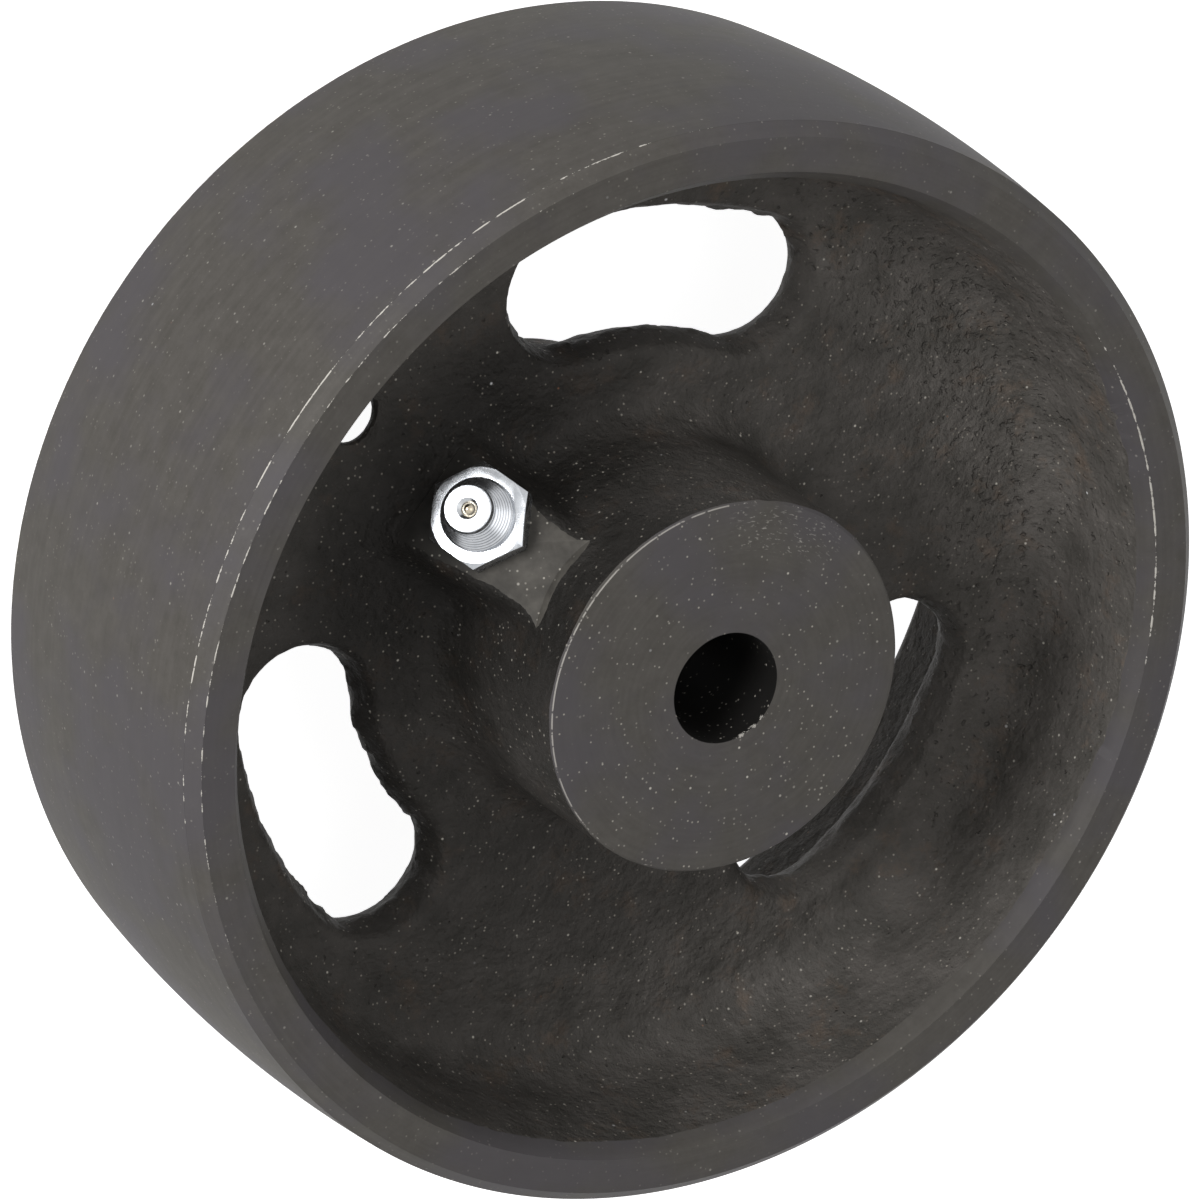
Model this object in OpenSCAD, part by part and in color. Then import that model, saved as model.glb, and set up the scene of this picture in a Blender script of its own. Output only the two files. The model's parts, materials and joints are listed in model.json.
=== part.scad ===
// Cast iron trolley wheel with a plain bore and a grease nipple.
// The wheel's axis is +Z. The origin is the centre of the hub's back face,
// and the nipple is on the front side, towards +Z. Millimetres.

/* [Rim] */
// Diameter over the crown of the tread
wheel_d = 150; // [148:0.5:175]
// Width of the rim across its two turned faces
rim_w = 52.5; // [44:0.5:60]
// Rise of the tread's middle over its two edges
crown_rise = 1.33; // [0.6:0.01:3]
// Thickness of the rim at its faces, from the tread's edge to the cast inner wall
rim_t = 7.77; // [6:0.01:8.5]
// Chamfer at the tread's edges, measured along the face
chamfer_r = 1.63; // [0.8:0.01:2.2]
// Chamfer at the tread's edges, measured along the tread
chamfer_z = 1.77; // [0.8:0.01:2.6]
// Bevel at the face's inner edge, measured along the face
bevel_r = 1.52; // [0.6:0.01:2.4]
// Bevel at the face's inner edge, measured down the inner wall
bevel_z = 2.36; // [1:0.01:3.5]
// Draft of the rim's cast inner wall, in degrees
rim_draft = 5; // [3:0.5:8]
// Radius of the cast blend from the rim into the web
rim_fillet = 7.5; // [4:0.5:8]

/* [Web] */
// Thickness of the web
web_t = 8; // [6:0.5:10]

/* [Hub] */
// Length of the hub between its two faces
hub_l = 62; // [60:0.5:70]
// Diameter of the hub at its faces
hub_d = 50.6; // [46:0.2:53]
// Draft of the hub's cast side, in degrees
hub_draft = 2; // [1:0.5:3]
// Radius of the cast blend from the hub into the web
hub_fillet = 4.5; // [2:0.5:5]
// Broken edge of the hub's turned faces
hub_edge = 0.35; // [0.2:0.05:1]
// Diameter of the bore
bore_d = 15; // [10:0.5:20]

/* [Slots] */
// Number of slots through the web
slot_count = 3; // [2:1:3]
// Radius of the slots' centre line
slot_mid_r = 46.1; // [45.5:0.1:47]
// Width of a slot at the middle of the web, where it is narrowest
slot_w = 16.2; // [10:0.2:17]
// Angle between the centres of a slot's round ends
slot_span = 33; // [15:1:36]
// Draft of a slot's walls towards both faces of the web, in degrees
slot_draft = 22; // [5:1:24]
// Direction of the first slot
slot_dir = 94.1; // [88:0.1:97]

/* [Core hole] */
// Distance of the small hole's centre from the axis
core_hole_r = 50; // [49:0.1:51]
// Direction of the small hole's centre
core_hole_dir = 150; // [145:0.1:155]
// Lean of the small hole, outwards towards the front, in degrees
core_hole_lean = 35; // [0:1:36]
// Diameter of the small hole's wider end
core_hole_d = 5.4; // [4:0.1:5.6]
// Length of the small hole across its two ends, round the wheel
core_hole_l = 8; // [7:0.1:10]

/* [Grease boss] */
// Direction of the boss, seen along the axis
boss_dir = 152.9; // [152:0.1:154]
// Direction of the nipple, which sits a little off the boss's middle
nipple_dir = 151; // [150:0.1:152]
// Angle between the nipple and the wheel's axis
nipple_tilt = 50; // [46:1:54]
// Distance of the pad's seat centre from the axis
pad_seat_r = 33.5; // [33:0.1:34.5]
// Height of the pad's seat centre above the web's middle
pad_seat_z = 13.35; // [12.5:0.05:14]
// Width of the pad at the seat
pad_w = 15; // [14:0.1:16]
// Draft of the boss's cast sides, in degrees
boss_draft = 6; // [2:0.5:6.5]
// Rounding of the boss's outer corners at the middle of the web
boss_corner = 4; // [3.8:0.1:6]
// Cast blend at the boss's foot
boss_foot = 2.5; // [1:0.1:3]
// Distance of the boss's outer foot from the axis, on the web
toe_r = 45.7; // [45:0.1:46.5]
// Rounding of the foot's outer corners on the web
toe_corner = 6; // [4:0.1:8]
// Diameter of the passage that takes grease to the bore
passage_d = 4; // [2.5:0.1:5]

/* [Grease nipple] */
// Thread diameter of the nipple's shank
shank_d = 8; // [7:0.1:9]
// Length of the shank
shank_l = 6.5; // [5.5:0.1:8]
// Gap between the shank and the tapped hole, on the radius
thread_gap = 0.05; // [0.02:0.01:0.1]
// Width across the hexagon's flats
hex_af = 12; // [11:0.1:13]
// Thickness of the hexagon
hex_t = 3.5; // [3:0.1:5]
// Diameter of the neck where it leaves the hexagon
neck_d = 9.5; // [8.6:0.1:10.5]
// Height of the neck's straight foot
neck_foot = 1; // [0.4:0.1:1.6]
// Diameter of the groove under the head
groove_d = 5.4; // [4.8:0.1:5.8]
// Diameter of the head
head_d = 6.7; // [6.3:0.1:7.5]
// Diameter of the head's flat top
head_top_d = 5.8; // [5:0.1:6]
// Height of the head
head_h = 2.2; // [1.8:0.1:3]
// Height of the nipple above its hexagon
neck_h = 6.6; // [6:0.1:8]

/* [Check valve] */
// Diameter of the check ball
ball_d = 2; // [1.85:0.05:2.2]
// Opening that the ball closes, at the foot of the head's mouth
seat_d = 1.7; // [1.4:0.05:1.75]
// Diameter of the head's mouth at its top
mouth_d = 2.65; // [2:0.05:3.2]
// Depth of the head's mouth
mouth_depth = 0.45; // [0.3:0.05:0.8]
// Gap round the ball
ball_gap = 0.05; // [0.03:0.01:0.08]
// Wire of the ball's spring
spring_wire = 0.35; // [0.25:0.01:0.4]
// Turns of the ball's spring
spring_turns = 7; // [5:1:9]
// Height of the spring chamber's floor above the pad
chamber_floor = 1; // [-2:0.1:2]
// Diameter of the passage drilled up the shank
shank_bore_d = 1.2; // [0.8:0.05:1.3]

/* [Hidden] */
$fn = 96;
iron = "#3c3a37";
zinc = "#c9ccd0";
steel = "#b9babc";
// Segments in a quarter of a blend, and in half of the tread's crown
blend_steps = 8;
crown_steps = 6;
// Length by which a cut stands past the face it opens through
past = 2;

mid_z = hub_l / 2;
web_h = web_t / 2;
face_h = rim_w / 2;
hub_r = hub_d / 2;
edge_r = wheel_d / 2 - crown_rise;
wall_top_r = edge_r - rim_t;
wall_top_h = face_h - bevel_z;
wall_foot_r = wall_top_r - (wall_top_h - web_h) * tan(rim_draft);
hub_foot_r = hub_r + (mid_z - web_h) * tan(hub_draft);
crown_half = face_h - chamfer_z;
crown_r = (crown_half * crown_half + crown_rise * crown_rise) / (2 * crown_rise);
boss_w = pad_w + 2 * pad_seat_z * tan(boss_draft);
foot_h = web_h + boss_foot;
pad_foot_r = pad_seat_r + (pad_seat_z - web_h) / tan(nipple_tilt);
toe_blend = (toe_r - pad_foot_r) / tan(nipple_tilt / 2);
head_top = hex_t + neck_h;
cavity_r = ball_d / 2 + ball_gap;
seat_h = head_top - mouth_depth;
ball_h = seat_h - sqrt(cavity_r * cavity_r - seat_d * seat_d / 4);
spring_top = ball_h - cavity_r;

// Height of the tread's surface at a distance z from the web's middle
function crown_at(z) = wheel_d / 2 - crown_r + sqrt(crown_r * crown_r - z * z);

// Points of an arc about a centre, from angle a to angle b
function arc(centre, r, a, b) = [
    for (i = [0 : blend_steps])
        let (t = a + (b - a) * i / blend_steps)
        centre + r * [cos(t), sin(t)]
];

// Half of the wheel's section above the web's middle, from the axis to the tread
function half_section() = concat(
    [[0, mid_z], [hub_r - hub_edge, mid_z], [hub_r, mid_z - hub_edge]],
    arc([hub_foot_r + hub_fillet * (1 - sin(hub_draft)) / cos(hub_draft), web_h + hub_fillet],
        hub_fillet, 180 + hub_draft, 270),
    arc([wall_foot_r - rim_fillet * (1 - sin(rim_draft)) / cos(rim_draft), web_h + rim_fillet],
        rim_fillet, 270, 360 - rim_draft),
    [[wall_top_r, wall_top_h], [wall_top_r + bevel_r, face_h], [edge_r - chamfer_r, face_h]],
    [for (i = [0 : crown_steps - 1])
        let (z = crown_half * (1 - i / crown_steps))
        [crown_at(z), z]]
);

// The other half is the same section turned over
function whole_section() = let (half = half_section(), n = len(half)) concat(
    half,
    [[wheel_d / 2, 0]],
    [for (i = [1 : n]) [half[n - i][0], -half[n - i][1]]]
);

// Section across a slot: narrowest at the web's middle and wider towards both faces
module slot_section(inner, outer) {
    h = web_h + past;
    flare = h * tan(slot_draft);
    polygon([
        [inner, 0],
        [inner == 0 ? 0 : inner - flare, h],
        [outer + flare, h],
        [outer, 0],
        [outer + flare, -h],
        [inner == 0 ? 0 : inner - flare, -h]
    ]);
}

module slot() {
    rotate([0, 0, -slot_span / 2])
        rotate_extrude(angle = slot_span)
            slot_section(slot_mid_r - slot_w / 2, slot_mid_r + slot_w / 2);
    for (side = [-1, 1])
        rotate([0, 0, side * slot_span / 2])
            translate([slot_mid_r, 0, 0])
                rotate([0, 0, side < 0 ? 180 : 0])
                    rotate_extrude(angle = 180)
                        slot_section(0, slot_w / 2);
}

// A small irregular hole left by the core: a wider and a narrower round, side by side and leaning
module core_hole() {
    narrow_d = core_hole_d * 0.8;
    h = (web_t + core_hole_d) / cos(core_hole_lean);
    rotate([0, 0, core_hole_dir])
        translate([core_hole_r, 0, 0])
            rotate([0, core_hole_lean, 0]) {
                translate([0, (core_hole_l - core_hole_d) / 2, 0])
                    cylinder(d = core_hole_d, h = h, center = true);
                translate([0.3, -(core_hole_l - narrow_d) / 2, 0])
                    cylinder(d = narrow_d, h = h, center = true);
            }
}

// Puts a child on the pad, with its +Z along the nipple
module on_pad() {
    translate([0, 0, mid_z])
        rotate([0, 0, nipple_dir])
            translate([pad_seat_r, 0, pad_seat_z])
                rotate([0, nipple_tilt, 0])
                    children();
}

// One level of the boss: a block with rounded outer corners, sloping in towards the top
module boss_level(w, end, corner, slope, h) {
    shrink = slope * h;
    rotate([90, 0, 90])
        linear_extrude(height = end - corner)
            polygon([[-w / 2, 0], [w / 2, 0], [w / 2 - shrink, h], [shrink - w / 2, h]]);
    translate([0, w / 2 - corner, 0])
        rotate([90, 0, 0])
            linear_extrude(height = w - 2 * corner)
                polygon([[0, 0], [end, 0], [end - shrink, h], [0, h]]);
    for (side = [-1, 1])
        translate([end - corner, side * (w / 2 - corner), 0])
            cylinder(r1 = corner, r2 = corner - shrink, h = h);
}

// All that is cut away over the pad, down to the hollow blend from its lower end into the web
module over_pad() {
    translate([0, 0, mid_z])
        rotate([0, 0, nipple_dir])
            translate([0, hub_l, 0])
                rotate([90, 0, 0])
                    linear_extrude(height = 2 * hub_l)
                        polygon(concat(
                            [[pad_seat_r - hub_l * cos(nipple_tilt), pad_seat_z + hub_l * sin(nipple_tilt)]],
                            [for (i = [0 : blend_steps - 1])
                                let (t = nipple_tilt * (1 - i / blend_steps))
                                [toe_r - toe_blend * sin(t), web_h + toe_blend * (1 - cos(t))]],
                            [[toe_r + 0.7, web_h - 0.06], [toe_r + hub_l, web_h - 0.06],
                                [toe_r + hub_l, pad_seat_z + hub_l * sin(nipple_tilt)]]
                        ));
}

// A drafted block whose foot's sides slope at 45 degrees down to the web
module boss() {
    difference() {
        translate([0, 0, mid_z])
            rotate([0, 0, boss_dir]) {
                boss_level(boss_w, pad_foot_r + 1, boss_corner, tan(boss_draft), mid_z - 2 * hub_edge);
                boss_level(boss_w - 2 * foot_h * tan(boss_draft) + 2 * foot_h, toe_r + web_h,
                    toe_corner + web_h, 1, foot_h);
            }
        over_pad();
    }
}

module wheel_casting() {
    color(iron)
        difference() {
            union() {
                translate([0, 0, mid_z])
                    rotate_extrude()
                        polygon(whole_section());
                boss();
            }
            translate([0, 0, -past])
                cylinder(d = bore_d, h = hub_l + 2 * past);
            for (i = [0 : slot_count - 1])
                translate([0, 0, mid_z])
                    rotate([0, 0, slot_dir + 360 / slot_count * i])
                        slot();
            translate([0, 0, mid_z])
                core_hole();
            on_pad() {
                translate([0, 0, -shank_l - 1])
                    cylinder(r = shank_d / 2 + thread_gap, h = shank_l + 1 + past);
                translate([0, 0, -pad_seat_r / sin(nipple_tilt)])
                    cylinder(d = passage_d, h = pad_seat_r / sin(nipple_tilt));
            }
        }
}

// Outside of the nipple above its hexagon
function neck_points() = [
    [0, hex_t - 0.5],
    [neck_d / 2, hex_t - 0.5],
    [neck_d / 2, hex_t + neck_foot],
    [groove_d / 2 + 0.3, head_top - head_h - 0.5],
    [groove_d / 2, head_top - head_h],
    [head_d / 2, head_top - head_h + 0.8],
    [head_d / 2, head_top - head_h + 1.1],
    [head_top_d / 2, head_top],
    [0, head_top]
];

// Passage through the nipple: shank bore, spring chamber, ball seat and mouth
function nipple_passage() = [
    [0, -shank_l - past],
    [shank_bore_d / 2, -shank_l - past],
    [shank_bore_d / 2, chamber_floor],
    [cavity_r, chamber_floor],
    [cavity_r, ball_h],
    for (i = [1 : blend_steps])
        let (t = acos(seat_d / 2 / cavity_r) * i / blend_steps)
        cavity_r * [cos(t), sin(t)] + [0, ball_h],
    [mouth_d / 2, head_top],
    [mouth_d / 2, head_top + past],
    [0, head_top + past]
];

module grease_nipple() {
    color(zinc)
        on_pad()
            difference() {
                union() {
                    intersection() {
                        cylinder(d = hex_af / cos(30), h = hex_t, $fn = 6);
                        rotate_extrude()
                            polygon([
                                [0, 0],
                                [hex_af / 2 + 0.6, 0],
                                [hex_af / 2 + 1, 0.25],
                                [hex_af / 2 + 1, hex_t - 0.5],
                                [hex_af / 2 + 0.1, hex_t],
                                [0, hex_t]
                            ]);
                    }
                    translate([0, 0, -shank_l])
                        cylinder(d = shank_d, h = shank_l);
                    rotate_extrude()
                        polygon(neck_points());
                }
                rotate_extrude()
                    polygon(nipple_passage());
            }
}

module check_ball() {
    color(steel)
        on_pad()
            translate([0, 0, ball_h])
                sphere(d = ball_d);
}

// Corners of the spring's wire, ring by ring along its helix
function spring_rings(sides, rings, r, foot, rise) = [
    for (i = [0 : rings])
        let (turn = 360 * spring_turns * i / rings)
        for (k = [0 : sides - 1])
            let (t = 360 * k / sides, out = r + spring_wire / 2 * cos(t))
            [out * cos(turn), out * sin(turn), foot + rise * i / rings + spring_wire / 2 * sin(t)]
];

module nipple_spring() {
    sides = 6;
    rings = 14 * spring_turns;
    foot = chamber_floor + spring_wire / 2;
    rise = spring_top - chamber_floor - spring_wire;
    faces = concat(
        [[for (k = [0 : sides - 1]) k]],
        [for (i = [0 : rings - 1], k = [0 : sides - 1])
            let (a = i * sides + k, b = i * sides + (k + 1) % sides)
            each [[a, a + sides, b], [b, a + sides, b + sides]]],
        [[for (k = [sides - 1 : -1 : 0]) rings * sides + k]]
    );
    color(steel)
        on_pad()
            polyhedron(spring_rings(sides, rings, cavity_r - ball_gap - spring_wire / 2, foot, rise), faces);
}

wheel_casting();
grease_nipple();
check_ball();
nipple_spring();
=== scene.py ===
import json
import math

import bpy
from mathutils import Matrix, Vector, noise


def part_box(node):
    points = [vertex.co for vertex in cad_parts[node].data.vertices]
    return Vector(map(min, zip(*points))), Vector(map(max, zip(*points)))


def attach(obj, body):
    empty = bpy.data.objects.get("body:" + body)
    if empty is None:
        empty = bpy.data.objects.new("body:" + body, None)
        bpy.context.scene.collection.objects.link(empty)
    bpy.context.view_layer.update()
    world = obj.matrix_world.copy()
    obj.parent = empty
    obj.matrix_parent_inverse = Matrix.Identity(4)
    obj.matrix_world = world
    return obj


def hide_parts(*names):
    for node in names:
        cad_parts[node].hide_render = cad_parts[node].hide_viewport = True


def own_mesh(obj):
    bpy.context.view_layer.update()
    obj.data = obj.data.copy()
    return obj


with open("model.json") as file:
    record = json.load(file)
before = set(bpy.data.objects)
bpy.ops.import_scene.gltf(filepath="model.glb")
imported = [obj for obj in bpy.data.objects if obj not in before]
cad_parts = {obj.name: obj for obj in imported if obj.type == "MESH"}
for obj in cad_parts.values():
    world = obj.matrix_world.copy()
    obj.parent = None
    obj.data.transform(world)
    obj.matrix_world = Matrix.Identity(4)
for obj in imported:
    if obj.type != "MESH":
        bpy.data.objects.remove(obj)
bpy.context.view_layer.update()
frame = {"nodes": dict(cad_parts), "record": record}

mm = 0.001
mounts = {mount["name"]: mount for mount in frame["record"]["mounts"]}
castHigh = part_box("wheel_casting")[1]
wheelRadius = castHigh.x / mm
hubLength = castHigh.z / mm
midHeight = hubLength / 2
boreRadius = mounts["bore"]["dims"]["r_mm"]

casting = {  # millimetres and degrees
    "rimWidth": 52.5,
    "crownRise": 1.33,
    "rimWall": 7.77,
    "chamferAcross": 1.63,
    "chamferDown": 1.77,
    "bevelAcross": 1.52,
    "bevelDown": 2.36,
    "rimDraft": 5,
    "rimBlend": 7.5,
    "webThick": 8,
    "hubDiameter": 50.6,
    "hubDraft": 2,
    "hubBlend": 4.5,
    "hubEdge": 0.35,
    "hubRollWide": 1.5,  # the band just inside the hub's edge, where the cut runs out
    "hubRollDeep": 0.14,
    "allowance": 1.6,  # cast metal that the lathe takes off
    "castSteps": 180,
    "turnedSteps": 288,
    "grid": 0.8,  # spacing of the cast skin's faces
}
faceHeight = casting["rimWidth"] / 2
webHalf = casting["webThick"] / 2
hubRadius = casting["hubDiameter"] / 2
edgeRadius = wheelRadius - casting["crownRise"]
wallTopRadius = edgeRadius - casting["rimWall"]
wallTopHeight = faceHeight - casting["bevelDown"]
rimTan = math.tan(math.radians(casting["rimDraft"]))
hubTan = math.tan(math.radians(casting["hubDraft"]))
toMiddle = Matrix.Translation((0, 0, midHeight * mm))


def clearSelection():
    if bpy.context.mode != "OBJECT":
        bpy.ops.object.mode_set(mode="OBJECT")
    bpy.ops.object.select_all(action="DESELECT")


def pick(obj):
    clearSelection()
    obj.select_set(True)
    bpy.context.view_layer.objects.active = obj


def editAll(obj):
    pick(obj)
    bpy.ops.object.mode_set(mode="EDIT")
    bpy.ops.mesh.select_all(action="SELECT")


def applyModifier(obj, kind, **settings):
    pick(obj)
    bpy.ops.object.modifier_add(type=kind)
    modifier = obj.modifiers[-1]
    for key, value in settings.items():
        setattr(modifier, key, value)
    bpy.ops.object.modifier_apply(modifier=modifier.name)


def cleanUp(obj, merge=1e-7):
    editAll(obj)
    bpy.ops.mesh.remove_doubles(threshold=merge)
    bpy.ops.mesh.select_all(action="SELECT")
    bpy.ops.mesh.normals_make_consistent(inside=False)
    clearSelection()


def drawOutline(name, outline):
    # one vertex is extruded from point to point in the XZ plane, then the loop is closed
    clearSelection()
    bpy.ops.mesh.primitive_plane_add(size=mm, location=(0, 0, 0))
    obj = bpy.context.active_object
    obj.name = name
    editAll(obj)
    bpy.ops.mesh.merge(type="CENTER")
    points = [Vector((across * mm, 0, up * mm)) for across, up in outline]
    bpy.ops.transform.translate(value=points[0])
    for last, point in zip(points, points[1:]):
        bpy.ops.mesh.extrude_vertices_move(TRANSFORM_OT_translate={"value": point - last})
    bpy.ops.object.mode_set(mode="OBJECT")
    obj.data.vertices[0].select = True
    bpy.ops.object.mode_set(mode="EDIT")
    bpy.ops.mesh.edge_face_add()
    return obj


def lathe(name, outline, steps, turn=math.tau, start=0.0):
    obj = drawOutline(name, outline)
    if turn < math.tau:
        bpy.ops.object.mode_set(mode="OBJECT")
        obj.rotation_euler = (0, 0, start)
        bpy.ops.object.transform_apply(location=True, rotation=True, scale=True)
        bpy.ops.object.mode_set(mode="EDIT")
    bpy.ops.mesh.select_all(action="SELECT")
    bpy.ops.mesh.spin(steps=steps, angle=-turn, center=(0, 0, 0), axis=(0, 0, 1))
    bpy.ops.mesh.select_all(action="SELECT")
    bpy.ops.mesh.remove_doubles(threshold=1e-7)
    if turn < math.tau:
        bpy.ops.mesh.select_all(action="SELECT")
        bpy.ops.mesh.fill_holes(sides=0)
    bpy.ops.mesh.select_all(action="SELECT")
    bpy.ops.mesh.normals_make_consistent(inside=False)
    clearSelection()
    return obj


def place(obj, matrix):
    pick(obj)
    obj.matrix_world = matrix
    bpy.ops.object.transform_apply(location=True, rotation=True, scale=True)


def finish(obj, material):
    obj.data.materials.clear()
    obj.data.materials.append(material)


def cut(target, tool, operation="DIFFERENCE", material=None):
    # the cut faces take the tool's material
    if material:
        finish(tool, material)
    applyModifier(target, "BOOLEAN", object=tool, operation=operation, solver="MANIFOLD",
                  material_mode="TRANSFER")
    bpy.data.objects.remove(tool)


def arcPoints(across, up, radius, start, end, count):
    angles = [math.radians(start + (end - start) * i / count) for i in range(count + 1)]
    return [(across + radius * math.cos(a), up + radius * math.sin(a)) for a in angles]


def mirrored(half):
    # an outline given for the upper half, closed by its own image below the web
    return half + [(across, -up) for across, up in reversed(half) if up > 1e-6]


def smoothStep(low, high, value):
    t = min(max((value - low) / (high - low), 0.0), 1.0)
    return t * t * (3 - 2 * t)


def hexColour(code):
    parts = [int(code[i:i + 2], 16) / 255 for i in (1, 3, 5)]
    return tuple(v / 12.92 if v <= 0.04045 else ((v + 0.055) / 1.055) ** 2.4 for v in parts) + (1,)


def addNode(tree, kind, inputs, **settings):
    # a value may be a number or colour, an output socket, or a node, whose first output is then used
    node = tree.nodes.new(kind)
    for key, value in settings.items():
        setattr(node, key, value)
    for key, value in inputs.items():
        if isinstance(value, bpy.types.Node):
            value = next(socket for socket in value.outputs if socket.enabled)
        if isinstance(value, bpy.types.NodeSocket):
            tree.links.new(value, node.inputs[key])
        else:
            node.inputs[key].default_value = value
    return node


def newMaterial(name):
    # its last value gives the place on the object in millimetres
    material = bpy.data.materials.new(name)
    material.use_nodes = True
    tree = material.node_tree
    grid = addNode(tree, "ShaderNodeTexCoord", {})
    where = addNode(tree, "ShaderNodeMapping", {"Vector": grid.outputs["Object"], "Scale": (1 / mm,) * 3})
    return material, tree, tree.nodes["Principled BSDF"], where


def wheelPlaces(tree, where):
    # distance from the axis, height over the middle of the web, turn and direction round the axis,
    # and distance with height as one point of the section
    flat = addNode(tree, "ShaderNodeVectorMath", {0: where, 1: (1, 1, 0)}, operation="MULTIPLY")
    radius = addNode(tree, "ShaderNodeVectorMath", {0: flat}, operation="LENGTH")
    apart = addNode(tree, "ShaderNodeSeparateXYZ", {0: where})
    lift = addNode(tree, "ShaderNodeMath", {0: apart.outputs["Z"], 1: midHeight}, operation="SUBTRACT")
    height = addNode(tree, "ShaderNodeMath", {0: lift}, operation="ABSOLUTE")
    turn = addNode(tree, "ShaderNodeMath", {0: apart.outputs["Y"], 1: apart.outputs["X"]},
                   operation="ARCTAN2")
    return {
        "radius": radius.outputs["Value"],
        "height": height.outputs[0],
        "turn": turn.outputs[0],
        "unit": addNode(tree, "ShaderNodeVectorMath", {0: flat}, operation="NORMALIZE").outputs[0],
        "profile": addNode(tree, "ShaderNodeCombineXYZ", {
            0: radius.outputs["Value"], 1: height}).outputs[0],
    }


def sideShare(tree, places, direction, low, high):
    # 1 on the side of the wheel that lies towards a direction in degrees, 0 away from it
    turn = math.radians(direction)
    toSide = addNode(tree, "ShaderNodeVectorMath", {
        0: places["unit"], 1: (math.cos(turn), math.sin(turn), 0)}, operation="DOT_PRODUCT")
    return addNode(tree, "ShaderNodeMapRange", {
        "Value": toSide.outputs["Value"], "From Min": math.cos(math.radians(low)),
        "From Max": math.cos(math.radians(high))})


def band(tree, value, low, high, soft):
    # 1 between two values, fading out over a soft margin on both sides
    rise = addNode(tree, "ShaderNodeMapRange", {"Value": value, "From Min": low - soft, "From Max": low})
    fall = addNode(tree, "ShaderNodeMapRange", {
        "Value": value, "From Min": high, "From Max": high + soft, "To Min": 1.0, "To Max": 0.0})
    return addNode(tree, "ShaderNodeMath", {0: rise, 1: fall}, operation="MULTIPLY")


def edgeWearAndGlint(tree, where, places, edges):
    # short pale dashes along the round edges: bare metal, and painted highlights on the side where light
    # catches the edges
    total = None
    for i, edge in enumerate(edges):
        gap = addNode(tree, "ShaderNodeVectorMath", {
            0: places["profile"], 1: (edge["radius"], edge["height"], 0)}, operation="DISTANCE")
        shifted = addNode(tree, "ShaderNodeVectorMath", {0: where, 1: (31.0 * i, 7.0, 3.0)}, operation="ADD")
        patch = addNode(tree, "ShaderNodeTexNoise", {
            "Vector": shifted, "Scale": 1 / edge["patch"], "Detail": 5.0, "Roughness": 0.75})
        # the side sets where the pale marks gather: painted highlight where the light catches the edge
        side = sideShare(tree, places, edge["side"], edge["fade"], edge["fade"] * 0.3)
        amount = addNode(tree, "ShaderNodeMath", {0: side, 1: 0.28, 2: patch}, operation="MULTIPLY_ADD")
        reach = addNode(tree, "ShaderNodeMapRange", {
            "Value": amount, "From Min": edge["bareAndGlint"], "From Max": edge["bareAndGlint"] + 0.1,
            "To Min": 0.0, "To Max": edge["width"]})
        wornAndGlinting = addNode(tree, "ShaderNodeMath", {0: reach, 1: gap.outputs["Value"]}, operation="SUBTRACT")
        mask = addNode(tree, "ShaderNodeMapRange", {
            "Value": wornAndGlinting, "From Min": 0.0, "From Max": edge["width"] * 0.4})
        total = mask if total is None else addNode(
            tree, "ShaderNodeMath", {0: total, 1: mask}, operation="MAXIMUM")
    return total


def addDust(tree, where, paint, layers, share=1.0):
    # fine grains on the lacquer, layer by layer: size, spacing, part of the grains, colour
    for size, apart, part, code in layers:
        cell = addNode(tree, "ShaderNodeTexVoronoi", {"Vector": where, "Scale": 1 / apart})
        near = addNode(tree, "ShaderNodeMapRange", {
            "Value": cell.outputs["Distance"], "From Min": 0.4 * size / apart, "From Max": size / apart,
            "To Min": 1.0, "To Max": 0.0})
        picked = addNode(tree, "ShaderNodeSeparateXYZ", {0: cell.outputs["Color"]})
        chosen = addNode(tree, "ShaderNodeMapRange", {
            "Value": picked.outputs["X"], "From Min": 1 - part, "From Max": 1.0})
        grain = addNode(tree, "ShaderNodeMath", {0: near, 1: chosen}, operation="MULTIPLY")
        grain = addNode(tree, "ShaderNodeMath", {0: grain, 1: share}, operation="MULTIPLY")
        paint = addNode(tree, "ShaderNodeMix", {0: grain, 6: paint, 7: hexColour(code)}, data_type="RGBA")
    return paint


turnedPaint = {
    "dark": "#4d4a46",
    "light": "#5a5753",
    "cool": "#535054",
    "bareAndGlint": "#c9c5bd",
    # bore: painted shade inside the hole
    "bore": "#161514",
    "tread": 0.92,  # painted shade: the tread's paint is this much of the faces' paint, against the stronger light on it
    "pad": "#56534e",
    "padShade": (31.0, 34.5, 0.3),  # painted shade: the pad darkens between these radii, to this level
    "rough": (0.52, 0.66),
    "shine": (0.18, 0.08),  # on the faces and on the tread
    "cloud": 3.2,  # millimetres from one dull cloud to the next
    "wide": 16,
    "grain": 0.6,
    "ring": 0.55,  # millimetres from one turning mark to the next
    # in the order of turnedEdges: width, spacing of the pale stretches of bare metal and painted highlight,
    # side and reach in degrees, and how little of the edge is pale
    "wearAndGlint": [
        {"width": 0.13, "patch": 2.4, "side": 150, "fade": 80, "bareAndGlint": 0.73},
        {"width": 0.12, "patch": 2.2, "side": 165, "fade": 75, "bareAndGlint": 0.76},
        {"width": 0.18, "patch": 3.0, "side": 22, "fade": 34, "bareAndGlint": 0.7},
        {"width": 0.2, "patch": 2.2, "side": 165, "fade": 150, "bareAndGlint": 0.65},
        {"width": 0.5, "patch": 1.4, "side": -48, "fade": 48, "bareAndGlint": 0.74},
    ],
    "dashes": {"from": 19.5, "to": 24, "side": 78, "fade": 24, "across": 3.4, "along": 22.0},
    # size, spacing, part of the grains and colour of each layer
    "dust": [(0.18, 0.8, 0.5, "#b5b0a6"), (0.23, 2.0, 0.45, "#e4dfd4"), (0.24, 5.5, 0.3, "#ffffff"),
             (0.2, 4.4, 0.3, "#a07662")],
}
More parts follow.
